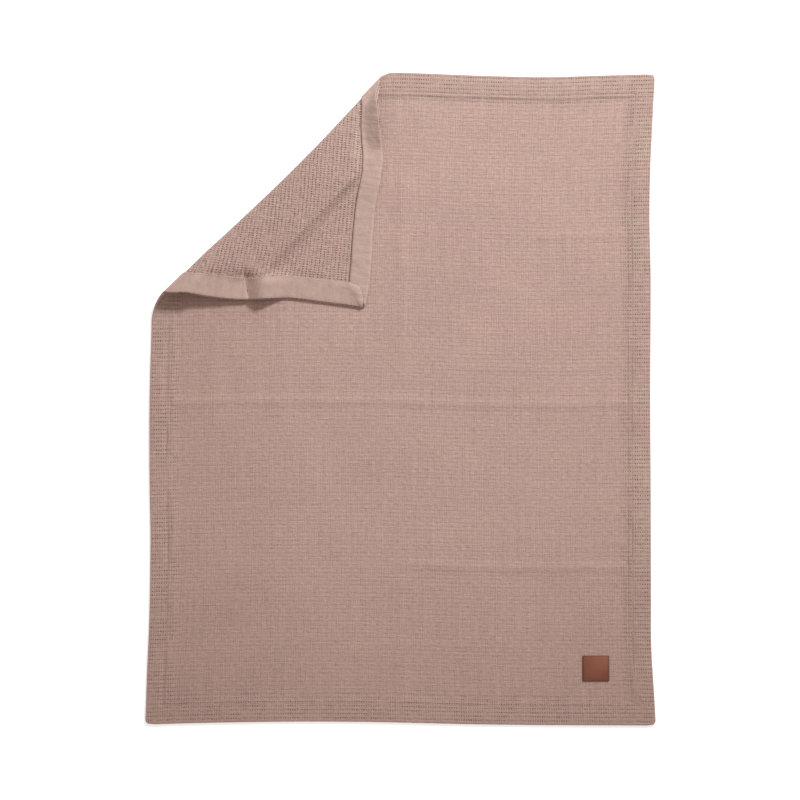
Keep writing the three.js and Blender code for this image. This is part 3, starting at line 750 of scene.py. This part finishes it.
def make_facing(side, material):
    """One plain woven facing on the back of the cloth, between its two mitres: lines at 45
    degrees through the corners, half the gap inside. The left one ends in the lap."""
    vertical = side in ("left", "right")
    length = CLOTH_LENGTH if vertical else CLOTH_WIDTH
    step_across, step_along = FACING_STEPS
    width = stations(
        [FACING_INSET, FACING_INSET + FACING_RIM, INNER - FACING_RIM, INNER], step_across
    )
    run = stations([FACING_INSET, length - FACING_INSET], step_along)
    across, along = beside(side, width, run)
    half = MITRE_GAP / np.sqrt(2)
    w, l = CLOTH_WIDTH, CLOTH_LENGTH
    lap = [(np.array((near, l - top)), np.array((next_near, l - next_top)))
           for (near, top), (next_near, next_top) in zip(LAP_OUTLINE, LAP_OUTLINE[1:])]
    lap = [(start, (end - start)[::-1] * (-1, 1)) for start, end in lap]
    trims = {
        "left": [((0, half), (-1, 1)), *lap],
        "right": [((w, half), (1, 1)), ((w, l - half), (1, -1))],
        "bottom": [((half, 0), (1, -1)), ((w - half, 0), (-1, -1))],
        "top": [((half, l), (1, 1)), ((w - half, l), (-1, 1))],
    }[side]
    cuts = fold_cuts() + (hem_crease_cuts() if side == "left" else [])
    places, faces = flat_cells(across, along, cuts, trims)
    u, v = places.T
    depth = {"left": u, "right": w - u, "bottom": v, "top": l - v}[side]
    ends = edge_depths(u, v)[vertical]
    inset = np.minimum(depth - FACING_INSET, INNER - depth)
    if side == "left":
        ends = np.where(v > l / 2, l, ends)
        for start, normal in lap:
            off = (places - start) @ (normal / np.linalg.norm(normal))
            inset = np.minimum(inset, np.abs(off))
    inset = np.minimum(inset, (ends - depth - half) * MITRE_SLOPE)
    half_thick = rim_round(np.maximum(inset, 0), FACING_THICKNESS / 2)
    centre = -HALF_THICKNESS - CLEARANCE - FACING_THICKNESS / 2
    if side == "left":
        past_mitre = (u - (l - v)) / np.sqrt(2)
        centre = centre - LAP_RISE * ease(*LAP_RISE_SPAN, past_mitre)
        puff = ease(*LAP_PUFF_SPAN, past_mitre) * ease(0, LAP_PUFF_INSET, inset)
        centre = centre - LAP_PUFF * puff
    facing = sheet(
        f"facing_tape_{side}", places, faces, centre + half_thick, centre - half_thick,
        material, [f"facing_{side}"], inset=INNER - depth,
    )


class Field:
    """A value that varies over a surface: one output of a material's nodes. Arithmetic on
    it adds a math node."""

    def __init__(self, tree, socket):
        self.tree, self.socket = tree, socket

    def math(self, operation, *others):
        values = dict(enumerate((self, *others)))
        return add_node(self.tree, "Math", values, operation=operation)

    def __add__(self, other):
        return self.math("ADD", other)

    def __sub__(self, other):
        return self.math("SUBTRACT", other)

    def __rsub__(self, other):
        return self * -1 + other

    def __mul__(self, other):
        return self.math("MULTIPLY", other)

    def __truediv__(self, other):
        return self.math("DIVIDE", other)

    def least(self, other):
        """The smaller of two values."""
        return self.math("MINIMUM", other)

    def between(self, low, high, to_low=0, to_high=1):
        """A smooth step from to_low at low to to_high at high."""
        ends = {"From Min": low, "From Max": high, "To Min": to_low, "To Max": to_high}
        values = {"Value": self, **ends}
        return add_node(self.tree, "MapRange", values, interpolation_type="SMOOTHSTEP")


def plug(place, value):
    """Link an input to a field, or set its own value."""
    if isinstance(value, Field):
        value.tree.links.new(value.socket, place)
    else:
        place.default_value = value


def add_node(tree, kind, values, output=0, **settings):
    """Add one shader node and give one of its outputs as a field."""
    node = tree.nodes.new("ShaderNode" + kind)
    for name, value in settings.items():
        setattr(node, name, value)
    for key, value in values.items():
        plug(node.inputs[key], value)
    return Field(tree, node.outputs[output])


def start_finish(name, **surface):
    """A new material with its surface shader's named inputs set."""
    material = bpy.data.materials.new(name)
    material.use_nodes = True
    shader = material.node_tree.nodes["Principled BSDF"]
    for key, value in surface.items():
        shader.inputs[key.replace("_", " ")].default_value = value
    return material


def flat_places(material):
    """The millimetres across (u) and along (v) the flat cloth."""
    tree = material.node_tree
    place = add_node(tree, "UVMap", {}, uv_map="Cloth")
    millimetres = add_node(tree, "VectorMath", {0: place, "Scale": 1 / MM}, operation="SCALE")
    return tuple(add_node(tree, "SeparateXYZ", {0: millimetres}, output=i) for i in (0, 1))


def point_value(material, name):
    """A value that the mesh carries on its points."""
    return add_node(material.node_tree, "Attribute", {}, output=2, attribute_name=name)


def spots(u, v, across, along, detail=2, seed=0):
    """Smooth noise around 0.5 whose spots are about across by along millimetres."""
    place = add_node(u.tree, "CombineXYZ", {0: u / across, 1: v / along, 2: seed})
    return add_node(u.tree, "TexNoise", {"Vector": place, "Scale": 1, "Detail": detail})


def uneven(amount, u, v, across, along, detail=2, seed=0):
    """The same noise around 0, scaled by an amount."""
    return (spots(u, v, across, along, detail, seed) - 0.5) * amount


def chance(u, v):
    """A random value from 0 to 1 for each pair of whole numbers."""
    place = add_node(u.tree, "CombineXYZ", {0: u, 1: v})
    return add_node(u.tree, "TexWhiteNoise", {"Vector": place}, noise_dimensions="2D")


def wave(place):
    """A cosine of whole turns, from 0 to 1, that is 1 at each whole number."""
    return (place * (2 * np.pi)).math("COSINE") * 0.5 + 0.5


def blend(share, first, second):
    """A straight blend of two colours."""
    values = {0: share, 6: first, 7: second}
    return add_node(share.tree, "Mix", values, output=2, data_type="RGBA")


def shade(colour, factor):
    """A colour made lighter or darker by a factor."""
    values = {0: colour, "Scale": factor}
    return add_node(colour.tree, "VectorMath", values, operation="SCALE")


def wear(material, colour, height, relief):
    """Give a material its colour and its fine relief of some millimetres."""
    inputs = material.node_tree.nodes["Principled BSDF"].inputs
    bump = {"Height": height, "Distance": relief * MM}
    plug(inputs["Base Color"], colour)
    plug(inputs["Normal"], add_node(material.node_tree, "Bump", bump))
    return material


def seam_groove_shade(u, v):
    """The dark lines of the two seams, painted shade of their grooves: each as strong as its
    groove is deep and gone 2.3 mm off its rectangle, and the slanted line across the border near
    the bottom right corner."""
    from_side, from_end = edge_depths(u, v, Field.least)
    slant = (from_side * 1.76 - from_end + 2).math("ABSOLUTE").between(1, 4, 1, 0)
    slant = slant * from_end.between(16, 20) * from_end.between(47, 52, 1, 0)
    low_right = u.math("GREATER_THAN", CLOTH_WIDTH / 2) * v.math("LESS_THAN", CLOTH_LENGTH / 2)
    lines = slant * low_right
    for at_side, at_end, side_dip, end_dip in SEAMS:
        side_off, end_off = from_side - at_side, from_end - at_end
        off = side_off.least(end_off).math("ABSOLUTE")
        strength = side_off.math("LESS_THAN", end_off) * (side_dip - end_dip) + end_dip
        lines = lines + off.between(0.5, 2.3, 1, 0) * strength
    return lines


def cell_grid(u, v):
    """The rows and the cells in them, which drift from row to row: both counts, the place
    across from a cell's middle in half widths, and the distance from its middle in its own
    half sizes, which vary. So each cell is an ellipse."""
    row = v / ROW_PITCH + 0.5
    row_number = row.math("FLOOR")
    drift = chance(row_number, 7) * 0.08 + spots(u, v, 60, 60) * 0.8
    cell = u / CELL_PITCH + drift
    cell_number = cell.math("FLOOR")
    wide = (cell - cell_number - 0.5) / CELL_HALF_WIDTH
    tall = (row - row_number - 0.5) / CELL_HALF_HEIGHT
    size = chance(cell_number, row_number) * 0.5 + 0.75
    return row, cell, wide, (wide * wide + tall * tall).math("SQRT") / size


def cell_colour(u, v, border, rib, on_back):
    """The cloth's colour: rose and sand in patches, more sand in the border and on the back's
    ribs, and on the front painted shade of the lamp's fall-off, darker towards the bottom, the
    left edge and the right."""
    from_side, from_end = edge_depths(u, v, Field.least)
    patch = spots(u, v, 60, 45, 3, seed=2).between(0.38, 0.62)
    border_patch = spots(u, v, 45, 60, seed=13).between(0.4, 0.6)
    side_share = from_side.between(20, 40, 0.9, 0.5) * u.between(30, 200, 0.3, 1)
    side_share = side_share * v.between(0, 900, 0.5, 1.3)
    sand_share = patch * 0.15 + 0.12 + border * border_patch * side_share + rib * on_back * 0.2
    # Painted shade: the front grows darker towards the bottom, the left edge and the bottom
    # right, the lamp's fall-off painted into the colour
    lower = v.between(20, 330, 0.48, 0)
    leftward = u.between(60, 260, 0.4, 0) * (1 - border * 0.3)
    right_low = u.between(520, 680, 0, 0.18) * v.between(150, 420, 1, 0)
    deeper = (lower + leftward + right_low) * (1 - on_back)
    base = blend(deeper, blend(sand_share, ROSE, SAND), PAINTED_SHADE_ROSE)
    rim = from_side.least(from_end).between(1, 3.5, 0.8, 0) * (1 - on_back)
    return blend(rim, base, RIM_ROSE)


def cell_finish():
    """The cellular cloth. A row of cells lies in each trough of the ribs. The cells are open on
    the back and in the front's border, and nearly closed elsewhere on the front, and the open
    ones are painted dark: painted shadow of the shaded cloth or facing beneath them. Uneven yarns
    both ways, the seams' dark lines of painted groove shade, a painted highlight along the back's
    rim and, on the front, faint rows and columns add up to one tone, by which the cloth's colour
    is multiplied."""
    material = start_finish("cell_cloth", Roughness=0.92, Sheen_Weight=0.08)
    u, v = flat_places(material)
    on_back = point_value(material, "on_back")
    on_front = 1 - on_back
    from_side, from_end = edge_depths(u, v, Field.least)
    edge = from_side.least(from_end)
    border = edge + uneven(16, u, v, 22, 22, seed=8)
    border = border.between(INNER - 4, SEAM_END + 12, 1, 0)
    seam = seam_groove_shade(u, v) * on_front

    row, cell, wide, reach = cell_grid(u, v)
    rib = wave(row)
    hole = reach.between(0.6, 1.15, 1, 0) * (1 - seam * 0.8).math("MAXIMUM", 0)
    # How dark the open cells are painted: strongest where shaded cloth or facing lies beneath
    # them
    openness = (border * 0.75 + 0.16) * on_front + on_back * 1.5
    open_patch = spots(u, v, 24, 30, seed=6).between(0.35, 0.62, 0.3, 1)
    depth = hole * edge.between(0.8, 2.2) * openness * open_patch
    depth = depth.least(1)

    yarns = uneven(0.55, u, v, 9, 1.7, 3) + uneven(0.5, u, v, 1.6, 9, 3, seed=4)
    yarns = (yarns + uneven(0.35, u, v, 1.1, 1.1, 4, seed=5)) * (on_back * 0.75 + 1.05)
    row_line = (rib - 0.5) * spots(u, v, 16, 7, seed=15).between(0.38, 0.64)
    column_line = (wave(cell) - 0.5) * spots(u, v, 8, 24, seed=17).between(0.42, 0.66)
    lines = uneven(0.2, u, v, 90, 2.4, seed=9) + uneven(0.3, u, v, 2.4, 110, seed=11)
    lines = lines + (row_line * 0.11 + column_line * 0.1) * on_front
    # Painted shade along the seams' grooves, broken into dots
    painted_groove_shade = seam * (spots(u, v, 5, 5, seed=14) * 2.2 - 0.3)
    painted_groove_shade = painted_groove_shade * spots(u, v, 55, 55, seed=18).between(0.35, 0.6, 0.3, 1)
    rung = (wide.math("ABSOLUTE").between(1.3, 2, -0.03, 0.1) - 0.04) * on_back
    # Painted highlight: the back lighter within about 2 mm of its edge, as a rim turned to the
    # lamp
    painted_rim_highlight = edge.between(1.2, 2.4, 0.2, 0) * on_back
    cloud = uneven(0.15, u, v, 130, 80, seed=16)
    tone = yarns + lines + rung + painted_rim_highlight + cloud + 1.0 - painted_groove_shade * 0.16
    # A little lighter on the back, and a little darker in the front's border, more painted shade
    # like that in its open cells
    tone = tone + on_back * 0.015 - border * on_front * 0.02
    base = shade(cell_colour(u, v, border, rib, on_back), tone)
    height = depth * -1.1 + yarns * 1.5 + lines * 1.5
    # Painted shadow in the open cells, as strong as they are open
    return wear(material, blend(depth * 0.9, base, CELL_HOLE_SHADOW), height, CLOTH_RELIEF)


def facing_finish():
    """The facings: a close plain weave with uneven yarns, soft creases, wrinkles and bands that
    run across each facing, blotches, a painted highlight along the outer rim and painted shade
    along the seamed inner one. They add up to one tone, by which the colour is multiplied."""
    material = start_finish("facing_cloth", Roughness=0.9, Sheen_Weight=0.06)
    u, v = flat_places(material)
    from_side, from_end = edge_depths(u, v, Field.least)
    on_side = from_side.math("LESS_THAN", from_end)
    along = v * on_side + u * (1 - on_side)
    across = u * on_side + v * (1 - on_side)
    yarns = uneven(0.3, u, v, 7, 0.9, 3, seed=21) + uneven(0.3, u, v, 0.9, 7, 3, seed=22)
    yarns = yarns + uneven(0.2, u, v, 0.6, 0.6, 3, seed=23)
    soft = uneven(3, u, v, 16, 16, seed=24)
    wrinkle = uneven(1.6, along + across * 0.2, across, 8, 30, 3, seed=26)
    band = uneven(3, along, across, 11, 120, seed=27)
    mottle = uneven(0.16, u, v, 9, 9, seed=29)
    inset = point_value(material, "inset")
    # Painted shade along the facing's inner rim at its seam, in dots
    painted_tape_seam_shade = inset.between(0.4, 2.2, 1, 0) * (spots(u, v, 5, 5, seed=28) * 1.8 - 0.2)
    # Painted highlight along the facing's outer rim
    rim = inset.between(FACING_WIDTH - 1.6, FACING_WIDTH - 0.4, 0, 0.12)
    tone = yarns + wrinkle * 0.05 + band * 0.04 - painted_tape_seam_shade * 0.2 + mottle + rim
    tone = tone + 0.94 - on_side * u.between(100, 300, 0.025, 0)
    patch = spots(u, v, 50, 50, seed=25).between(0.35, 0.65)
    base = blend(patch * 0.3, TAPE_ROSE, TAPE_SAND)
    return wear(material, shade(base, tone), yarns + soft + wrinkle + band, TAPE_RELIEF)


def thread_finish():
    """The sewing thread: plied cotton, with slanted stripes along each stitch."""
    material = start_finish("thread", Roughness=0.85, Sheen_Weight=0.1)
    u, v = flat_places(material)
    ply = ((u + v * 0.8) * (2 * np.pi / THREAD_PLY)).math("SINE") * 0.5 + 0.5
    return wear(material, blend(ply, THREAD_DARK, THREAD_LIGHT), ply, FINE_RELIEF)


def leather_finish():
    """The leather: a brown with a painted highlight towards the top left, blotches and fine
    pebbled grain, darker bands where it is pressed down by its stitches at the left and right
    edges, and dark cut edges."""
    material = start_finish("leather", Roughness=0.75)
    u, v = flat_places(material)
    from_side = LABEL_WIDTH / 2 - u.math("ABSOLUTE")
    from_end = LABEL_HEIGHT / 2 - v.math("ABSOLUTE")
    # Painted highlight: lighter towards the top left, darker towards the bottom right
    fall = (v * 0.8 - u).between(-30, 6)
    blot = uneven(0.5, u, v, 9, 9, 3, seed=31)
    place = add_node(u.tree, "UVMap", {}, uv_map="Cloth")
    pebbles = {"Vector": place, "Scale": PEBBLES_PER_METRE}
    grain = add_node(u.tree, "TexVoronoi", pebbles, feature="DISTANCE_TO_EDGE")
    base = blend(fall + blot, LEATHER_DARK, LEATHER_LIGHT)
    band = from_side.between(1.6, 3.2, 0.28, 0) + from_side.between(0.2, 1, 0.2, 0)
    band = band + from_end.between(0.5, 1.7, 0.35, 0)
    tone = (1 - band).math("MAXIMUM", 0.45)
    return wear(material, shade(base, tone), grain.between(0, 0.3), FINE_RELIEF)


def floor_finish():
    """A plain pale floor that glows a little, so that it stays white around the cloth."""
    return start_finish(
        "pale_floor", Base_Color=FLOOR_GREY, Roughness=1.0,
        Emission_Color=(1, 1, 1, 1), Emission_Strength=FLOOR_GLOW,
    )


def seam_line(side, depth, face_offset):
    """Stitch places along one side at a depth from it: the middle and the direction of
    each stitch, at an offset off the middle of the cloth."""
    vertical = side in ("left", "right")
    length = CLOTH_LENGTH if vertical else CLOTH_WIDTH
    run = np.arange(depth + STITCH_PITCH, length - depth, STITCH_PITCH)
    run = run + waver(run, STITCH_WANDER, depth)
    u, v = beside(side, np.full_like(run, depth), run)
    du, dv = (0, NORMAL_STEP) if vertical else (NORMAL_STEP, 0)
    along = cloth_middle(u + du, v + dv) - cloth_middle(u - du, v - dv)
    along /= np.linalg.norm(along, axis=1)[:, None]
    front = cloth_front(u, v)
    return cloth_middle(u, v) + front * face_offset, along, front


def make_stitches(name, lines, material):
    """Joined spindles, one for each stitch: two square rings between two points, with the
    ends sunk into the cloth."""
    middle, along, front = (np.vstack(parts) for parts in zip(*lines))
    sideways = np.cross(along, front)
    half, radius = STITCH_LENGTH / 2, STITCH_RADIUS
    turns = np.radians((45, 135, 225, 315))
    shape = [(-half, 0, -radius)]
    for place in (-STITCH_BELLY * half, STITCH_BELLY * half):
        shape += [(place, radius * np.cos(turn), radius * np.sin(turn)) for turn in turns]
    shape.append((half, 0, -radius))
    one_stitch = np.array(shape)
    points = np.concatenate([
        middle + along * x + sideways * y + front * z for x, y, z in one_stitch
    ]).reshape(len(shape), -1, 3).transpose(1, 0, 2).reshape(-1, 3)
    one = []
    for k in range(4):
        n = (k + 1) % 4
        one += [(0, 1 + n, 1 + k), (1 + k, 1 + n, 5 + n, 5 + k), (9, 5 + k, 5 + n)]
    faces = [[corner + start * len(shape) for corner in face]
             for start in range(len(middle)) for face in one]
    corner = np.concatenate([np.array(face) for face in faces]) % len(shape)
    maps = {"Cloth": one_stitch[corner][:, :2] * MM}
    return finish_mesh(name, points, faces, maps, material, [])


def make_label(material):
    """The leather patch: a rounded square with a soft edge. Its outline steps round the
    four corners, and four rings of it make the soft edge below and above."""
    bevel = LABEL_BEVEL
    steps = np.radians(np.arange(0, 360, LABEL_TURN))
    half = np.array((LABEL_WIDTH, LABEL_HEIGHT)) / 2 - LABEL_CORNER
    turn = np.stack([np.cos(steps), np.sin(steps)], axis=1)
    corner = np.where(turn >= 0, 1, -1) * half
    rings = ((bevel, 0), (0, bevel), (0, LABEL_THICKNESS - bevel), (bevel, LABEL_THICKNESS))
    place = np.array(lay(np.array([CLOTH_WIDTH - LABEL_FROM_RIGHT]),
                         np.array([float(LABEL_FROM_BOTTOM)]))).ravel()
    count = len(steps)
    points = np.vstack([
        np.column_stack([corner + turn * (LABEL_CORNER - inset) + place,
                         np.full(count, CLOTH_THICKNESS + CLEARANCE + rise)])
        for inset, rise in rings
    ])
    faces = [list(range(count))[::-1], list(range(count * 3, count * 4))]
    for ring in range(3):
        for i in range(count):
            k = (i + 1) % count
            faces.append([ring * count + i, ring * count + k,
                          (ring + 1) * count + k, (ring + 1) * count + i])
    order = np.concatenate([np.array(face) for face in faces])
    maps = {"Cloth": (points[order, :2] - place) * MM}
    finish_mesh("leather_patch", points, faces, maps, material, ["label"])


def make_stage():
    """A plain pale floor, the lights and the camera straight above."""
    mesh = bpy.data.meshes.new("floor")
    corners = np.array([(-1, -1, 0), (1, -1, 0), (1, 1, 0), (-1, 1, 0)]) * FLOOR_HALF
    mesh.from_pydata(corners.tolist(), [], [(0, 1, 2, 3)])
    mesh.materials.append(floor_finish())
    add_object("floor", mesh)

    lamp = bpy.data.lights.new("key", "AREA")
    lamp.energy, lamp.size, lamp.color = LAMP_POWER, LAMP_SIZE, LAMP_COLOUR
    key = add_object("key", lamp)
    azimuth, elevation = np.radians((LAMP_AZIMUTH, LAMP_ELEVATION))
    key.location = (
        LAMP_DISTANCE * np.cos(elevation) * np.cos(azimuth),
        LAMP_DISTANCE * np.cos(elevation) * np.sin(azimuth),
        LAMP_DISTANCE * np.sin(elevation),
    )
    aim = Vector(LAMP_AIM) - Vector(key.location)
    key.rotation_euler = aim.to_track_quat("-Z", "Y").to_euler()

    world = bpy.data.worlds.new("studio")
    world.use_nodes = True
    background = world.node_tree.nodes["Background"]
    background.inputs["Color"].default_value = WORLD_COLOUR
    background.inputs["Strength"].default_value = WORLD_STRENGTH
    scene = bpy.context.scene
    scene.world = world

    lens = bpy.data.cameras.new("camera")
    lens.lens, lens.sensor_width = CAMERA_LENS, CAMERA_SENSOR
    camera = add_object("camera", lens)
    camera.location = CAMERA_PLACE
    scene.camera = camera
    scene.view_settings.view_transform = "Standard"


make_stage()
panel = make_panel(cell_finish())
facing_cloth, thread = facing_finish(), thread_finish()
SIDES = ("top", "right", "bottom", "left")
for side in SIDES:
    make_facing(side, facing_cloth)
front_offset = HALF_THICKNESS - STITCH_SINK
back_offset = -HALF_THICKNESS - CLEARANCE - FACING_THICKNESS
front_lines = [seam_line(side, depths[side in ("top", "bottom")], front_offset)
               for side in SIDES for depths in SEAMS]
back_lines = [seam_line(side, INNER - FACING_STITCH_INSET, back_offset) for side in SIDES]
back_lines = [(middle, along, -front) for middle, along, front in back_lines]
seam_thread = [make_stitches("front_stitches", front_lines, thread),
               make_stitches("facing_stitches", back_lines, thread)]
make_label(leather_finish())
